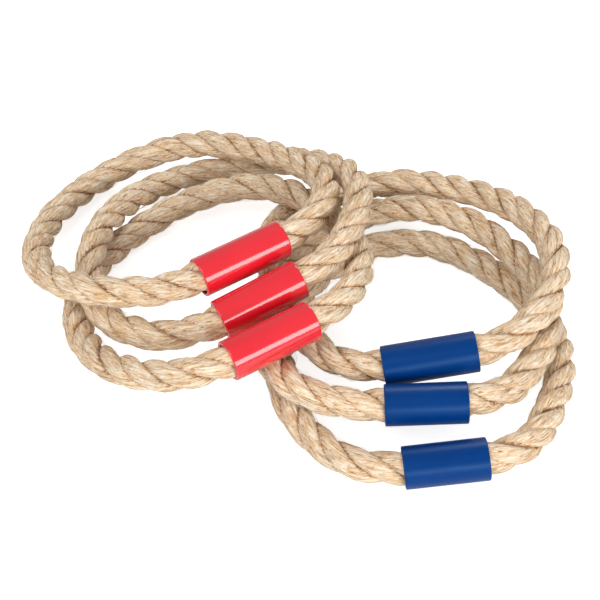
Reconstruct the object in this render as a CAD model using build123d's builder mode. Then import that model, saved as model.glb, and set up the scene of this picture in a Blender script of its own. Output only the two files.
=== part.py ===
"""Ring toss set: six loose rope quoits, three with blue and three with red sleeves.

Each ring is one length of laid rope bent round until its two ends meet. The ends are
held by a hot-melt joint inside a short, straight plastic sleeve. The rings lie in one
fanned pile on a flat surface, the blue ones below and the red ones above.

Units are millimetres, +Z is up and Z = 0 is the surface that the pile lies on. The
origin is the middle of the pile's footprint.
"""

import math
import os

from build123d import *

# Ring: the outer diameter that it has when it is laid out round, and the rope it is made of
ring_diameter = 150.0
rope_diameter = 14.0

# Sleeve: the bore is the rope's diameter and the room for glue, the outside adds the wall
glue_room = 0.7
sleeve_wall = 1.5
sleeve_length = 40.0
outer_rim_round = 0.6
inner_rim_chamfer = 0.3

# Hot-melt joint: a web between the rope's two ends and a thin collar over each of them
web_thickness = 2.0
collar_length = 11.0

# Corners of a rope's run: how much of the shorter run each bend takes up
bend_share = 0.45

# The rings from the bottom of the pile to its top: name, how much longer than
# sleeve_length the sleeve is cut, and the points that the rope runs through. The first
# and last points are equally far from the sleeve's middle, on the sleeve's axis. The
# points are laid out for rings and rope of the two sizes given first.
laid_ring_diameter = 150.0
laid_rope_diameter = 14.0
rings = [
    ("blue_ring_1", -4, [
        (35, -100, 8), (7, -82, 7), (-5, -52, 7), (-3, -18, 7), (10, 14, 7), (35, 37, 7), (68, 43, 7),
        (98, 25, 7), (119, -2, 7), (127, -36, 8), (118, -71, 13), (98, -97, 16),
    ]),
    ("blue_ring_2", -4, [
        (28, -73, 18), (-2, -65, 23), (-15, -33, 19), (-15, -1, 9), (0, 30, 7), (25, 53, 9), (57, 61, 15),
        (88, 47, 20), (110, 19, 22), (123, -14, 22), (115, -47, 22), (91, -74, 23),
    ]),
    ("blue_ring_3", 2, [
        (30, -54, 19), (4, -34, 21), (-8, -4, 25), (-11, 30, 21), (-2, 60, 10), (26, 78, 9), (59, 80, 16),
        (91, 65, 24), (115, 41, 33), (126, 8, 38), (119, -26, 38), (95, -50, 31),
    ]),
    ("red_ring_1", 2, [
        (-36, -70, 37), (-68, -65, 29), (-91, -43, 18), (-104, -11, 9), (-100, 22, 7), (-80, 50, 7),
        (-52, 67, 14), (-19, 69, 23), (9, 52, 28), (29, 24, 30), (35, -7, 35), (20, -36, 40),
    ]),
    ("red_ring_2", 1, [
        (-42, -43, 32), (-75, -36, 24), (-95, -12, 22), (-98, 23, 23), (-90, 55, 18), (-70, 84, 10),
        (-40, 98, 8), (-8, 94, 17), (19, 76, 31), (34, 49, 43), (33, 16, 48), (16, -13, 44),
    ]),
    ("red_ring_3", 4, [
        (-50, -26, 43), (-84, -26, 40), (-112, -9, 31), (-126, 17, 20), (-126, 54, 11), (-111, 82, 8),
        (-83, 100, 13), (-51, 103, 22), (-19, 88, 30), (7, 67, 38), (21, 39, 45), (6, 9, 46),
    ]),
]

# Worked out from the sizes above
rope_radius = rope_diameter / 2
bore_radius = rope_radius + glue_room
sleeve_radius = bore_radius + sleeve_wall
plan_scale = ring_diameter / laid_ring_diameter
height_scale = rope_diameter / laid_rope_diameter


def make_route(points):
    """The rope's closed run: from the sleeve's middle round the points and back to it."""
    laid = [Vector(x * plan_scale, y * plan_scale, z * height_scale) for x, y, z in points]
    middle = (laid[0] + laid[-1]) / 2
    return [middle] + laid + [middle]


def bend_radii(route):
    """The radius of the rope's bend at each inner point: as large as its two runs allow."""
    radii = []
    for before, corner, after in zip(route, route[1:], route[2:]):
        run_in = corner - before
        run_out = after - corner
        half_turn = math.radians(run_in.get_angle(run_out)) / 2
        shorter = min(run_in.length, run_out.length)
        radii.append(bend_share * shorter / math.tan(half_turn))
    return radii


def sleeve_plane(route):
    """The plane across the sleeve at its middle, its Z along the sleeve's axis."""
    return Plane(origin=route[0], z_dir=route[1] - route[-2])


def make_rope(route, radii):
    """One solid of rope: round the ring, its two ends half a web from the sleeve's middle."""
    start = route[0] + (route[1] - route[0]).normalized() * (web_thickness / 2)
    end = route[-1] + (route[-2] - route[-1]).normalized() * (web_thickness / 2)
    with BuildPart() as rope:
        with BuildLine():
            run = FilletPolyline(*([start] + route[1:-1] + [end]), radius=radii)
        with BuildSketch(Plane(origin=run @ 0, z_dir=run % 0)):
            Circle(rope_radius)
        sweep(path=run)
    return rope, run.length


def make_sleeve(plane, length):
    """The plastic tube: open at both ends, rims rounded outside and chamfered inside."""
    with BuildPart() as sleeve:
        with BuildSketch(plane):
            Circle(sleeve_radius)
            Circle(bore_radius, mode=Mode.SUBTRACT)
        extrude(amount=length / 2, both=True)
        rims = sleeve.edges().filter_by(GeomType.CIRCLE)
        outer_rims = [rim for rim in rims if rim.radius > (bore_radius + sleeve_radius) / 2]
        fillet(outer_rims, radius=outer_rim_round)
        rims = sleeve.edges().filter_by(GeomType.CIRCLE)
        inner_rims = [rim for rim in rims if abs(rim.radius - bore_radius) < glue_room / 10]
        chamfer(inner_rims, length=inner_rim_chamfer)
    return sleeve


def make_glue(plane):
    """The hot-melt joint: a web with a pocket each side that a rope end sits in."""
    with BuildPart() as glue:
        with BuildSketch(plane):
            Circle(bore_radius)
        extrude(amount=web_thickness / 2 + collar_length, both=True)
        for side in (1, -1):
            with BuildSketch(plane.offset(side * web_thickness / 2)):
                Circle(rope_radius)
            extrude(amount=side * collar_length, mode=Mode.SUBTRACT)
    return glue


def save(piece, name):
    piece.part.label = name
    export_step(piece.part, f"parts/{name}.step")


os.makedirs("parts", exist_ok=True)

for name, extra_length, points in rings:
    route = make_route(points)
    radii = bend_radii(route)
    across = sleeve_plane(route)

    rope, run_length = make_rope(route, radii)
    save(rope, f"{name}_rope")
    save(make_sleeve(across, sleeve_length + extra_length), f"{name}_sleeve")
    save(make_glue(across), f"{name}_glue")

    swept = math.pi * rope_radius**2 * run_length
    print(f"{name}: rope {run_length:.1f} mm, volume {rope.part.volume:.0f} of {swept:.0f} mm3")
    print("  bend radii", ", ".join(f"{radius:.0f}" for radius in radii))
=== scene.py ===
"""Looks of the ring toss set: six rings of laid rope with plastic sleeves, on a pale floor.

Everything is in metres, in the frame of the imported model, but for the pattern on the
ropes, which is laid out in millimetres.
"""

import math

import bpy
import numpy as np
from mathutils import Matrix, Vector


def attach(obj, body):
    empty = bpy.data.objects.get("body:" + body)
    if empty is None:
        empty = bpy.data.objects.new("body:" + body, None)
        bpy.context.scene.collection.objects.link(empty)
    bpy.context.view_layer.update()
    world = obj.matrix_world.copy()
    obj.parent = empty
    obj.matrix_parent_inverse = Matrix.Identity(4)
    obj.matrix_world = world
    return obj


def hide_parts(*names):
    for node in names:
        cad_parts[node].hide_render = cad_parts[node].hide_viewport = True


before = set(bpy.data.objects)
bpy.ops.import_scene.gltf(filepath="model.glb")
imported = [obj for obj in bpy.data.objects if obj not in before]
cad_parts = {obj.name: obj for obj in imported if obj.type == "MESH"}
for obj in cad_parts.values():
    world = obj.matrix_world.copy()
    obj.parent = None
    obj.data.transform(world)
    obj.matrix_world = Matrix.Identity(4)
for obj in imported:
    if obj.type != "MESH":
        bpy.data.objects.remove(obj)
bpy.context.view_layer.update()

MM = 0.001

# ---------------------------------------------------------------- camera and set

LOOK_AT = Vector((0.005, 0.007, 0.0))
CAMERA_DISTANCE = 0.536
CAMERA_HEIGHT_ANGLE = math.radians(47.0)
CAMERA_LENS = 64.7


def make_camera():
    camera = bpy.data.objects.new("camera", bpy.data.cameras.new("camera"))
    bpy.context.scene.collection.objects.link(camera)
    back = Vector((0, -math.cos(CAMERA_HEIGHT_ANGLE), math.sin(CAMERA_HEIGHT_ANGLE)))
    camera.location = LOOK_AT + back * CAMERA_DISTANCE
    camera.rotation_mode = "QUATERNION"
    camera.rotation_quaternion = (-back).to_track_quat("-Z", "Y")
    camera.data.lens = CAMERA_LENS
    camera.data.sensor_width = 36.0
    bpy.context.scene.camera = camera


def area_light(name, direction, distance, width, height, power):
    """A softbox in that direction from the object, facing it; height is its upright side."""
    lamp = bpy.data.lights.new(name, "AREA")
    lamp.shape = "RECTANGLE"
    lamp.size = width
    lamp.size_y = height
    lamp.energy = power
    light = bpy.data.objects.new(name, lamp)
    bpy.context.scene.collection.objects.link(light)
    away = Vector(direction).normalized()
    light.location = LOOK_AT + away * distance
    light.rotation_mode = "QUATERNION"
    light.rotation_quaternion = (-away).to_track_quat("-Z", "Y")


# ---------------------------------------------------------------- node helpers


class Nodes:
    """Short names for the node calls that the materials make."""

    def __init__(self, name):
        self.material = bpy.data.materials.new(name)
        self.material.use_nodes = True
        self.tree = self.material.node_tree
        self.shader = self.tree.nodes["Principled BSDF"]

    def add(self, kind, **values):
        """A node; values set its properties, or its inputs by name with _ for a space."""
        node = self.tree.nodes.new(kind)
        for key, value in values.items():
            if hasattr(node, key):
                setattr(node, key, value)
            else:
                node.inputs[key.replace("_", " ")].default_value = value
        return node

    def link(self, source, target):
        self.tree.links.new(source, target)

    def attribute(self, name):
        return self.add("ShaderNodeAttribute", attribute_name=name)

    def stretched(self, vector, scale):
        """That vector times a scale for each axis."""
        mapping = self.add("ShaderNodeMapping")
        mapping.inputs["Scale"].default_value = scale
        self.link(vector, mapping.inputs["Vector"])
        return mapping.outputs["Vector"]

    def noise(self, vector, scale, detail=3.0, roughness=0.55):
        noise = self.add("ShaderNodeTexNoise", Scale=scale, Detail=detail, Roughness=roughness)
        self.link(vector, noise.inputs["Vector"])
        return noise.outputs["Fac"]

    def ramp(self, factor, *stops):
        """A colour ramp through (place, colour) stops."""
        ramp = self.add("ShaderNodeValToRGB")
        elements = ramp.color_ramp.elements
        while len(elements) < len(stops):
            elements.new(0.5)
        for element, (place, colour) in zip(elements, stops):
            element.position = place
            element.color = (*colour, 1.0)
        self.link(factor, ramp.inputs["Fac"])
        return ramp.outputs["Color"]

    def span(self, value, low, high, to_low, to_high):
        """The value's stretch from low to high, mapped to another and held at its ends."""
        node = self.add("ShaderNodeMapRange")
        for socket, number in zip(node.inputs[1:5], (low, high, to_low, to_high)):
            socket.default_value = number
        self.link(value, node.inputs[0])
        return node.outputs[0]

    def blend(self, kind, factor, first, second):
        """Two colours mixed; factor and second are each a socket or a plain value."""
        mix = self.add("ShaderNodeMix", data_type="RGBA", blend_type=kind)
        for socket, value in ((mix.inputs[0], factor), (mix.inputs[6], first), (mix.inputs[7], second)):
            if isinstance(value, bpy.types.NodeSocket):
                self.link(value, socket)
            else:
                socket.default_value = value
        return mix.outputs[2]

    def bump(self, height, distance, strength):
        bump = self.add("ShaderNodeBump", Distance=distance, Strength=strength)
        self.link(height, bump.inputs["Height"])
        self.link(bump.outputs["Normal"], self.shader.inputs["Normal"])


def floor_material():
    """Pale and plain: white where the camera sees it, with the object's soft shadow kept."""
    nodes = Nodes("floor")
    nodes.shader.inputs["Base Color"].default_value = (0.82, 0.82, 0.82, 1)
    nodes.shader.inputs["Roughness"].default_value = 0.9
    nodes.shader.inputs["Emission Color"].default_value = (1, 1, 1, 1)
    rays = nodes.add("ShaderNodeLightPath")
    lift = nodes.span(rays.outputs["Is Camera Ray"], 0, 1, 0, 0.72)
    nodes.link(lift, nodes.shader.inputs["Emission Strength"])
    return nodes.material


def make_floor():
    size = 12.0
    corners = [(-size, -size, 0), (size, -size, 0), (size, size, 0), (-size, size, 0)]
    mesh = bpy.data.meshes.new("floor")
    mesh.from_pydata(corners, [], [(0, 1, 2, 3)])
    floor = bpy.data.objects.new("floor", mesh)
    floor.data.materials.append(floor_material())
    bpy.context.scene.collection.objects.link(floor)


def make_world():
    """Even pale light all round, which the camera sees as white."""
    world = bpy.data.worlds.new("world")
    world.use_nodes = True
    bpy.context.scene.world = world
    tree = world.node_tree
    background = tree.nodes["Background"]
    background.inputs["Color"].default_value = (1.0, 1.0, 1.0, 1)
    rays = tree.nodes.new("ShaderNodeLightPath")
    strength = tree.nodes.new("ShaderNodeMapRange")
    strength.inputs["To Min"].default_value = 0.4
    strength.inputs["To Max"].default_value = 1.0
    tree.links.new(rays.outputs["Is Camera Ray"], strength.inputs[0])
    tree.links.new(strength.outputs[0], background.inputs["Strength"])


make_camera()
bpy.context.scene.view_settings.view_transform = "Standard"

# ---------------------------------------------------------------- the ropes' routes

# From the bottom of the pile to its top: the points that steer each ring's rope, from the
# middle of its sleeve round the ring. The second and the last one stand about 2 mm outside the
# sleeve's axis, so that the smooth line leaves the sleeve's mouths along that axis. Some of
# the others are moved up to 3 mm, to follow the photograph.
ROUTES = {
    "blue_ring_1": [
        (0.0665, -0.0985, 0.012), (0.035, -0.1015, 0.0075), (0.0075, -0.081, 0.007),
        (-0.005, -0.052, 0.007), (-0.003, -0.018, 0.007), (0.010, 0.014, 0.007),
        (0.035, 0.037, 0.007), (0.068, 0.043, 0.007), (0.098, 0.025, 0.007),
        (0.1195, -0.002, 0.007), (0.1278, -0.036, 0.008), (0.1165, -0.0695, 0.013),
        (0.098, -0.099, 0.0165),
    ],
    "blue_ring_2": [
        (0.0595, -0.0735, 0.0205), (0.028, -0.074, 0.0175), (-0.002, -0.065, 0.023),
        (-0.015, -0.033, 0.019), (-0.015, -0.001, 0.009), (0.000, 0.030, 0.007),
        (0.025, 0.053, 0.009), (0.057, 0.061, 0.015), (0.088, 0.047, 0.020),
        (0.110, 0.019, 0.022), (0.1235, -0.014, 0.022), (0.114, -0.0455, 0.021),
        (0.0905, -0.076, 0.0235),
    ],
    "blue_ring_3": [
        (0.0625, -0.052, 0.025), (0.030, -0.056, 0.0185), (0.004, -0.034, 0.021),
        (-0.008, -0.004, 0.025), (-0.011, 0.030, 0.021), (-0.002, 0.060, 0.010),
        (0.026, 0.078, 0.009), (0.059, 0.0795, 0.0155), (0.090, 0.0635, 0.0235),
        (0.113, 0.039, 0.033), (0.126, 0.008, 0.038), (0.1195, -0.026, 0.038),
        (0.095, -0.052, 0.031),
    ],
    "red_ring_1": [
        (-0.008, -0.053, 0.0385), (-0.035, -0.072, 0.038), (-0.068, -0.065, 0.029),
        (-0.091, -0.043, 0.018), (-0.104, -0.011, 0.009), (-0.100, 0.022, 0.007),
        (-0.080, 0.050, 0.007), (-0.052, 0.067, 0.014), (-0.019, 0.069, 0.023),
        (0.009, 0.052, 0.028), (0.029, 0.024, 0.030), (0.035, -0.007, 0.035),
        (0.021, -0.0375, 0.041),
    ],
    "red_ring_2": [
        (-0.013, -0.028, 0.038), (-0.041, -0.0455, 0.032), (-0.075, -0.036, 0.024),
        (-0.095, -0.012, 0.022), (-0.098, 0.023, 0.023), (-0.090, 0.055, 0.018),
        (-0.070, 0.084, 0.010), (-0.040, 0.098, 0.008), (-0.008, 0.094, 0.017),
        (0.019, 0.076, 0.031), (0.034, 0.049, 0.043), (0.0325, 0.016, 0.048),
        (0.0165, -0.0145, 0.044),
    ],
    "red_ring_3": [
        (-0.022, -0.0085, 0.0445), (-0.049, -0.0275, 0.043), (-0.084, -0.026, 0.040),
        (-0.112, -0.009, 0.031), (-0.126, 0.017, 0.020), (-0.126, 0.054, 0.011),
        (-0.1115, 0.0825, 0.008), (-0.0835, 0.101, 0.0135), (-0.051, 0.104, 0.0225),
        (-0.019, 0.088, 0.030), (0.007, 0.067, 0.038), (0.021, 0.039, 0.045),
        (0.007, 0.007, 0.0465),
    ],
}
# Each rope's own length, end to end
SLEEVE_LENGTHS = {
    "blue_ring_1": 0.036, "blue_ring_2": 0.036, "blue_ring_3": 0.042,
    "red_ring_1": 0.042, "red_ring_2": 0.041, "red_ring_3": 0.044,
}
SPLINE_STEPS = 42


def route_line(route):
    """Points along the smooth line that the route steers, from the sleeve's middle and back."""
    points = [*route, route[0]]
    curve = bpy.data.curves.new("route", "CURVE")
    curve.dimensions = "3D"
    spline = curve.splines.new("NURBS")
    spline.points.add(len(points) - 1)
    for control, point in zip(spline.points, points):
        control.co = (*point, 1)
    spline.order_u = 3
    spline.use_endpoint_u = True
    spline.resolution_u = SPLINE_STEPS
    holder = bpy.data.objects.new("route", curve)
    mesh = bpy.data.meshes.new_from_object(holder)
    line = np.array([vertex.co for vertex in mesh.vertices])
    bpy.data.objects.remove(holder)
    bpy.data.meshes.remove(mesh)
    bpy.data.curves.remove(curve)
    return line


# ---------------------------------------------------------------- laid rope

ROPE_DIAMETER = 0.014
STRANDS = 3
LAY_LENGTH = 0.043  # one strand's full turn round the rope
STRAND_ORBIT = 0.0033  # from the rope's middle to a strand's middle
STRAND_DEPTH = 0.0037  # a strand's half thickness towards the rope's middle
STRAND_WIDTH = 0.0043  # and its half width across that
FIBRE_TURN = 1.45  # how many turns the fibres make back round their strand in one lay
LAY_WANDER = 0.15  # how far the strands' turn strays along the rope, in radians
STRAND_WANDER = 0.09  # and how far one strand strays from its place among the three
STRAND_UNEVENNESS = 0.02  # the share by which a strand's thickness varies
ORBIT_UNEVENNESS = 0.03  # and the share by which its distance from the rope's middle varies
RELIEF = 0.00020  # how far the yarns stand out on a strand
# The waves round a strand that make its relief, from yarns to fibres, with each group's share
RELIEF_WAVES = ((range(2, 6), 0.30), (range(7, 12), 0.35), (range(12, 17), 0.35))
MOUTH_SWELL = 0.085  # how much more of the sleeve's mouth the rope fills
MOUTH_REACH = 0.006  # and how far along the rope that fades
ROUND_STEPS = 64
PATTERN_SHIFT_MM = 137.0  # how far each strand's colours are moved along from the last one's


def unit(vectors):
    return vectors / np.linalg.norm(vectors, axis=-1, keepdims=True)


def cross_frame(line):
    """At each point, two directions across the line that turn as little as they can along it."""
    along = unit(np.gradient(line, axis=0))
    across = np.empty_like(line)
    turned = np.array((0.0, 0.3, 1.0))
    for index, direction in enumerate(along):
        turned = unit(turned - direction * (turned @ direction))
        across[index] = turned
    return across, np.cross(along, across)


def slow_waves(rng, along, size, shortest=0.05, longest=0.2):
    """A smooth random wander along the rope, of about that size."""
    count = 5
    lengths = rng.uniform(shortest, longest, count)
    phases = rng.uniform(0, 2 * math.pi, count)
    waves = np.sin(2 * math.pi * along[:, None] / lengths + phases)
    return size * waves.sum(axis=1) / math.sqrt(count / 2)


class Strand:
    """One strand: at each station of the rope, its middle, its two half sizes and their directions."""

    def __init__(self, rope, number):
        rng, along = rope.rng, rope.along
        turn = rope.turn + 2 * math.pi * number / STRANDS
        turn = turn + slow_waves(rng, along, STRAND_WANDER, shortest=0.03, longest=0.12)
        wander = slow_waves(rng, along, STRAND_UNEVENNESS, shortest=0.02, longest=0.06)
        size = rope.size * (1 + wander)
        out = np.cos(turn)[:, None] * rope.up + np.sin(turn)[:, None] * rope.side
        beside = np.cos(turn)[:, None] * rope.side - np.sin(turn)[:, None] * rope.up
        wander = slow_waves(rng, along, ORBIT_UNEVENNESS, shortest=0.02, longest=0.08)
        orbit = STRAND_ORBIT * rope.size * (1 + wander)
        self.along = along
        self.fibre_turn = FIBRE_TURN * turn
        middle = rope.line + out * orbit[:, None]
        self.stations = np.hstack([
            middle, out * (STRAND_DEPTH * size)[:, None], beside * (STRAND_WIDTH * size)[:, None],
        ])

    def surface(self, fibre, lift, at=None):
        """Points on the strand, lifted off it: each follows a fibre, an angle that winds back round it.

        They lie at each station of the rope, or where at says along it.
        """
        if at is None:
            stations, turn = self.stations[:, None, :], self.fibre_turn[:, None]
        else:
            stations = np.stack([np.interp(at, self.along, row) for row in self.stations.T], axis=-1)
            turn = np.interp(at, self.along, self.fibre_turn)
        angle = (fibre - turn)[..., None]
        offset = np.cos(angle) * stations[..., 3:6] + np.sin(angle) * stations[..., 6:9]
        return stations[..., 0:3] + offset + unit(offset) * lift[..., None]


class Rope:
    """The run of one ring's rope, and its three strands."""

    def __init__(self, ring, seed):
        self.rng = np.random.default_rng(seed)
        self.line = route_line(ROUTES[ring])
        steps = np.linalg.norm(np.diff(self.line, axis=0), axis=1)
        self.along = np.concatenate([[0], np.cumsum(steps)])
        self.up, self.side = cross_frame(self.line)
        from_end = np.minimum(self.along, self.along[-1] - self.along)
        mouth = SLEEVE_LENGTHS[ring] / 2
        self.size = 1 + MOUTH_SWELL * np.exp(-(((from_end - mouth) / MOUTH_REACH) ** 2))
        start = self.rng.uniform(0, 2 * math.pi)
        wander = slow_waves(self.rng, self.along, LAY_WANDER)
        self.turn = start + 2 * math.pi * self.along / LAY_LENGTH + wander
        self.strands = [Strand(self, number) for number in range(STRANDS)]


def relief(rng, fibre, along):
    """Yarns and fibres that stand out on a strand: a sum of waves that run with the fibres."""
    height = np.zeros(np.broadcast(fibre, along).shape)
    for waves, share in RELIEF_WAVES:
        group = np.zeros_like(height)
        for count in waves:
            phase, drift_phase = rng.uniform(0, 2 * math.pi, 2)
            drift = rng.uniform(0.5, 1.2) * np.sin(along * rng.uniform(90, 420) + drift_phase)
            swell = 0.6 + 0.4 * np.sin(along * rng.uniform(200, 900) + phase)
            group += swell * np.cos(count * fibre + phase + drift * math.sqrt(count))
        height += share * group / math.sqrt(len(waves))
    return height


def tube_faces(rows, steps, first):
    """The faces of a closed tube: between its rows of points, and one face at each end."""
    faces = []
    for row in range(rows - 1):
        here = first + row * steps
        for step in range(steps):
            after = (step + 1) % steps
            faces.append((here + step, here + after, here + steps + after, here + steps + step))
    last = first + (rows - 1) * steps
    faces.append(tuple(range(first + steps - 1, first - 1, -1)))
    faces.append(tuple(range(last, last + steps)))
    return faces


def mesh_object(name, points, faces, material):
    mesh = bpy.data.meshes.new(name)
    mesh.from_pydata(points.tolist(), [], faces)
    mesh.polygons.foreach_set("use_smooth", [True] * len(mesh.polygons))
    mesh.materials.append(material)
    piece = bpy.data.objects.new(name, mesh)
    bpy.context.scene.collection.objects.link(piece)
    return piece


def add_values(mesh, name, values):
    """A point attribute: one number or one vector for each vertex."""
    kind, key = ("FLOAT_VECTOR", "vector") if values.ndim == 2 else ("FLOAT", "value")
    attribute = mesh.attributes.new(name, kind, "POINT")
    attribute.data.foreach_set(key, np.ascontiguousarray(values, np.float32).ravel())


def make_rope(ring, rope, material):
    """The three strands of one ring's rope as one mesh of closed tubes.

    The attribute lay is where on its strand's own straight run a point lies, for the pattern.
    crest is how near the rope's outside it is, and ridge how far the relief stands out there.
    """
    stations = len(rope.along)
    fibre = np.linspace(0, 2 * math.pi, ROUND_STEPS, endpoint=False)[None, :]
    lay = np.empty((stations, ROUND_STEPS, 3))
    lay[..., 0] = STRAND_DEPTH / MM * np.cos(fibre)
    lay[..., 1] = STRAND_DEPTH / MM * np.sin(fibre)
    points, lays, crests, ridges, faces = [], [], [], [], []
    for number, strand in enumerate(rope.strands):
        ridge = relief(rope.rng, fibre, rope.along[:, None])
        surface = strand.surface(fibre, RELIEF * ridge)
        surface[..., 2] = np.maximum(surface[..., 2], 0)
        lay[..., 2] = rope.along[:, None] / MM + PATTERN_SHIFT_MM * number
        from_middle = np.linalg.norm(surface - rope.line[:, None, :], axis=2)
        faces += tube_faces(stations, ROUND_STEPS, number * stations * ROUND_STEPS)
        points.append(surface.reshape(-1, 3))
        lays.append(lay.reshape(-1, 3).copy())
        crests.append((from_middle / (rope.size[:, None] * ROPE_DIAMETER / 2)).ravel())
        ridges.append(ridge.ravel())
    piece = mesh_object(f"{ring}_laid_rope", np.concatenate(points), faces, material)
    add_values(piece.data, "lay", np.concatenate(lays))
    add_values(piece.data, "crest", np.concatenate(crests))
    add_values(piece.data, "ridge", np.concatenate(ridges))
    return piece


# ---------------------------------------------------------------- loose fibres

# Lying fibres have come loose but lie on their strand, and stray ones stand off the rope or
# bridge two strands. These are how many each ring has, how far they stay from the rope's
# two ends, their least and greatest length and thickness, and how they stand off.
LYING_FIBRES = 900
LYING_FROM_END = 0.022
LYING_LENGTHS = (0.003, 0.009)
LYING_THICKNESS = (0.00007, 0.00014)
LYING_SPREAD = 1.1  # how far round their strand from its outermost line, in radians
LYING_SLANT = 0.35  # how much they slant across the strand's own fibres, in radians
LYING_LIFT = 0.00012  # how far they lie off the strand
LYING_END_LIFT = 0.00025  # and how much more their ends may rise
STRAY_FIBRES = 640
STRAY_FROM_END = 0.026
STRAY_LENGTHS = (0.004, 0.014)
STRAY_THICKNESS = (0.00004, 0.00008)
STRAY_LEAN = (0.15, 0.45)  # the mean and the spread of their slant round the rope
STRAY_WAVE = 0.12  # how much they wave from side to side, in radians
BRIDGING_SHARE = 0.55  # the share of them that comes down to the rope again
STRAY_START_DEPTH = 0.0006  # how far inside the rope's round they start
STRAY_LEAST_RISE = 0.00015  # and how far they rise from there: this, and
STRAY_MORE_RISE = 0.0009  # about this much more
TIP_TAPER = 0.75  # the share of its thickness that a fibre loses at its tips


def lying_fibre(rope, rng):
    """A loose fibre that runs nearly with its strand's fibres, its two ends a little raised."""
    strand = rope.strands[rng.integers(STRANDS)]
    length = rng.uniform(*LYING_LENGTHS)
    start = rng.uniform(LYING_FROM_END, rope.along[-1] - LYING_FROM_END - length)
    share = np.linspace(0, 1, 6)
    at = start + share * length
    halfway = np.interp(start + length / 2, strand.along, strand.fibre_turn)
    fibre = halfway + rng.uniform(-LYING_SPREAD, LYING_SPREAD)
    fibre = fibre + rng.normal(0, LYING_SLANT) * (share - 0.5)
    lift = LYING_LIFT + rng.uniform(0, LYING_END_LIFT) * np.abs(2 * share - 1) ** 3
    return strand.surface(fibre, lift, at), rng.uniform(*LYING_THICKNESS)


def stray_fibre(rope, rng):
    """A stray fibre: it leaves its strand, runs on along the rope and stands off a little."""
    length = rng.uniform(*STRAY_LENGTHS)
    start = rng.uniform(STRAY_FROM_END, rope.along[-1] - STRAY_FROM_END - length)
    share = np.linspace(0, 1, 7)
    at = start + share * length
    line, up, side = (
        np.stack([np.interp(at, rope.along, row) for row in source.T], axis=1)
        for source in (rope.line, rope.up, rope.side)
    )
    lean = rng.normal(*STRAY_LEAN)
    angles = rng.uniform(0, 2 * math.pi) + lean * share * length / (ROPE_DIAMETER / 2)
    angles = angles + rng.normal(0, STRAY_WAVE) * np.sin(2 * math.pi * share)
    out = np.cos(angles)[:, None] * up + np.sin(angles)[:, None] * side
    rise = np.sin(math.pi * share) if rng.random() < BRIDGING_SHARE else share**1.6
    height = STRAY_LEAST_RISE + abs(rng.normal(0, STRAY_MORE_RISE))
    radius = ROPE_DIAMETER / 2 - STRAY_START_DEPTH + height * rise
    return line + out * radius[:, None], rng.uniform(*STRAY_THICKNESS)


def make_fibres(name, rope, material, count, fibre_line):
    """Many thin three-sided tubes, tapered at both ends, as one mesh."""
    rng = np.random.default_rng(int(rope.along[-1] * 1e6) + count)
    points, faces, first = [], [], 0
    for _ in range(count):
        line, thickness = fibre_line(rope, rng)
        line[:, 2] = np.maximum(line[:, 2], thickness)
        across, beside = cross_frame(line)
        taper = 1 - TIP_TAPER * np.abs(np.linspace(-1, 1, len(line))) ** 3
        corners = [
            line + (thickness * taper)[:, None] * (math.cos(turn) * across + math.sin(turn) * beside)
            for turn in (0, 2 * math.pi / 3, 4 * math.pi / 3)
        ]
        points.append(np.stack(corners, axis=1).reshape(-1, 3))
        faces += tube_faces(len(line), 3, first)
        first += 3 * len(line)
    return mesh_object(name, np.concatenate(points), faces, material)


# ---------------------------------------------------------------- materials


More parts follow.
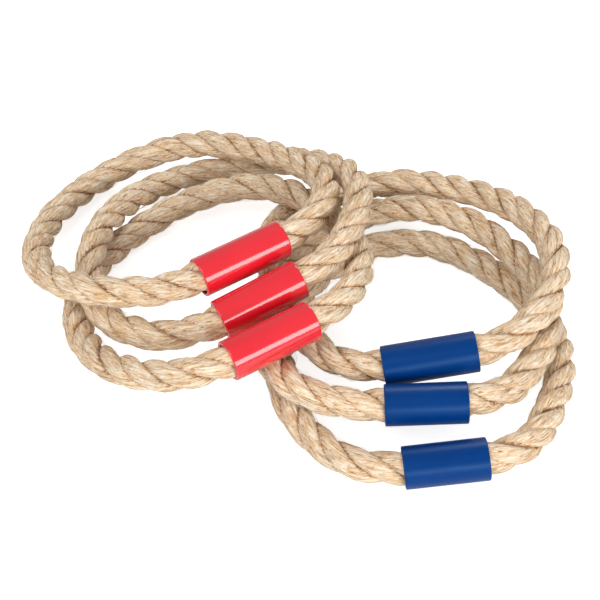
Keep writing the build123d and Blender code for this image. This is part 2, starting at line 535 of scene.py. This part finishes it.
def rope_material():
    """Natural fibre: pale straw streaks and browner ones along the fibres, with painted shade in the
    grooves.
    """
    nodes = Nodes("rope_fibre")
    lay = nodes.attribute("lay").outputs["Vector"]
    crest = nodes.attribute("crest").outputs["Fac"]
    ridge = nodes.attribute("ridge").outputs["Fac"]

    # Streaks that run with the fibres, at three sizes
    bundles = nodes.noise(nodes.stretched(lay, (1, 1, 0.07)), 0.85, 2.0, 0.6)
    streaks = nodes.noise(nodes.stretched(lay, (1, 1, 0.09)), 1.9, 2.0, 0.7)
    dashes = nodes.noise(nodes.stretched(lay, (1, 1, 0.30)), 2.4, 2.0, 0.6)
    grain = nodes.blend("MIX", 0.5, bundles, nodes.blend("MIX", 0.4, streaks, dashes))
    colour = nodes.ramp(
        grain,
        (0.37, (0.42, 0.26, 0.14)),
        (0.43, (0.66, 0.48, 0.31)),
        (0.51, (0.79, 0.63, 0.45)),
        (0.58, (0.91, 0.81, 0.66)),
    )

    # Browner stretches of rope, pale single fibres and dark specks
    patches = nodes.noise(nodes.stretched(lay, (1, 1, 0.45)), 0.33, 2.0)
    tan = nodes.span(patches, 0.38, 0.60, 0.0, 1.0)
    colour = nodes.blend("MULTIPLY", tan, colour, (0.95, 0.83, 0.68, 1))
    glints = nodes.noise(nodes.stretched(lay, (1, 1, 0.10)), 2.8, 1.0)
    pale = nodes.span(glints, 0.56, 0.66, 0.0, 0.8)
    colour = nodes.blend("MIX", pale, colour, (0.94, 0.85, 0.71, 1))
    specks = nodes.noise(nodes.stretched(lay, (1, 1, 0.22)), 1.3, 2.0)
    dark = nodes.span(specks, 0.41, 0.30, 0.0, 0.8)
    colour = nodes.blend("MULTIPLY", dark, colour, (0.48, 0.34, 0.22, 1))

    # Painted shade in the uneven grooves where strands meet, which fibres bridge in places, and painted
    # shade between yarns
    uneven_crest = nodes.add("ShaderNodeMath", operation="MULTIPLY_ADD")
    nodes.link(nodes.noise(nodes.stretched(lay, (1, 1, 0.6)), 1.3, 2.0), uneven_crest.inputs[0])
    uneven_crest.inputs[1].default_value = 0.5
    nodes.link(crest, uneven_crest.inputs[2])
    # Painted shade: darker the nearer a point lies to the rope's middle
    painted_groove_shade = nodes.span(uneven_crest.outputs[0], 0.93, 1.05, 1.0, 0.0)
    bridged = nodes.noise(nodes.stretched(lay, (1, 1, 0.35)), 0.5, 2.0)
    shade = nodes.ramp(bridged, (0.40, (0.38, 0.23, 0.13)), (0.62, (0.80, 0.68, 0.56)))
    colour = nodes.blend("MULTIPLY", painted_groove_shade, colour, shade)
    # Painted shade in the low gaps between yarns
    painted_yarn_shade = nodes.span(ridge, -1.1, 0.1, 0.6, 0.0)
    colour = nodes.blend("MULTIPLY", painted_yarn_shade, colour, (0.62, 0.47, 0.34, 1))
    nodes.link(colour, nodes.shader.inputs["Base Color"])

    nodes.link(nodes.span(streaks, 0.35, 0.7, 0.9, 0.6), nodes.shader.inputs["Roughness"])
    nodes.shader.inputs["Specular IOR Level"].default_value = 0.3
    nodes.bump(grain, 0.0010, 0.9)
    return nodes.material


def fibre_material(name, darker, lighter):
    """Loose fibres, each of about one shade."""
    nodes = Nodes(name)
    place = nodes.add("ShaderNodeTexCoord").outputs["Object"]
    shade = nodes.noise(place, 260.0, 1.0)
    nodes.link(nodes.ramp(shade, (0.38, darker), (0.60, lighter)), nodes.shader.inputs["Base Color"])
    nodes.shader.inputs["Roughness"].default_value = 0.6
    return nodes.material


def sleeve_material(name, colour, darker, roughness, tint, coat):
    """Moulded plastic: nearly even colour, with fine wear in its gloss."""
    nodes = Nodes(name)
    place = nodes.add("ShaderNodeTexCoord").outputs["Object"]
    cloud = nodes.noise(place, 35.0, 2.0)
    nodes.link(nodes.ramp(cloud, (0.35, darker), (0.65, colour)), nodes.shader.inputs["Base Color"])
    wear = nodes.noise(place, 420.0, 5.0, 0.65)
    worn = nodes.span(wear, 0.3, 0.75, roughness * 0.85, roughness * 1.2)
    nodes.link(worn, nodes.shader.inputs["Roughness"])
    nodes.shader.inputs["Specular Tint"].default_value = (*tint, 1)
    nodes.shader.inputs["Coat Weight"].default_value = coat
    nodes.shader.inputs["Coat Roughness"].default_value = 0.10
    nodes.bump(nodes.noise(place, 150.0, 3.0), 0.00003, 0.12)
    return nodes.material


def glue_material():
    nodes = Nodes("hot_melt_glue")
    place = nodes.add("ShaderNodeTexCoord").outputs["Object"]
    cloud = nodes.noise(place, 160.0, 3.0)
    colour = nodes.ramp(cloud, (0.3, (0.72, 0.66, 0.50)), (0.7, (0.86, 0.82, 0.70)))
    nodes.link(colour, nodes.shader.inputs["Base Color"])
    nodes.shader.inputs["Roughness"].default_value = 0.4
    return nodes.material


def dress(node, material):
    """Gives a CAD node a material on its object's slots, leaving its mesh as it is."""
    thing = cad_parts[node]
    for slot in thing.material_slots:
        slot.link = "OBJECT"
        slot.material = material


# ---------------------------------------------------------------- making

rope_look = rope_material()
lying_look = fibre_material("loose_fibre", (0.56, 0.38, 0.22), (0.95, 0.86, 0.70))
stray_look = fibre_material("stray_fibre", (0.66, 0.50, 0.33), (0.92, 0.84, 0.68))
glue_look = glue_material()
sleeve_looks = {
    "red": sleeve_material(
        "red_plastic", colour=(0.78, 0.014, 0.028), darker=(0.74, 0.010, 0.024),
        roughness=0.16, tint=(1, 1, 1), coat=1.0,
    ),
    "blue": sleeve_material(
        "blue_plastic", colour=(0.0, 0.037, 0.188), darker=(0.0, 0.033, 0.176),
        roughness=0.33, tint=(0.22, 0.40, 0.55), coat=0.0,
    ),
}

for seed, ring in enumerate(ROUTES):
    rope = Rope(ring, 11 + seed)
    laid_rope = make_rope(ring, rope, rope_look)
    lying = make_fibres(f"{ring}_loose_fibres", rope, lying_look, LYING_FIBRES, lying_fibre)
    stray = make_fibres(f"{ring}_stray_fibres", rope, stray_look, STRAY_FIBRES, stray_fibre)
    for piece in (laid_rope, lying, stray):
        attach(piece, ring)
    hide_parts(f"{ring}_rope")
    dress(f"{ring}_sleeve", sleeve_looks[ring.split("_")[0]])
    dress(f"{ring}_glue", glue_look)

make_floor()
make_world()
area_light(
    "front_softbox", direction=(0.47, -0.80, 0.37),
    distance=1.2, width=1.3, height=0.46, power=10.8,
)
area_light(
    "side_softbox", direction=(-0.55, -0.35, 0.76),
    distance=1.3, width=0.9, height=0.9, power=7.4,
)
area_light(
    "back_softbox", direction=(0.18, 0.75, 0.63),
    distance=1.4, width=0.45, height=0.5, power=5.4,
)
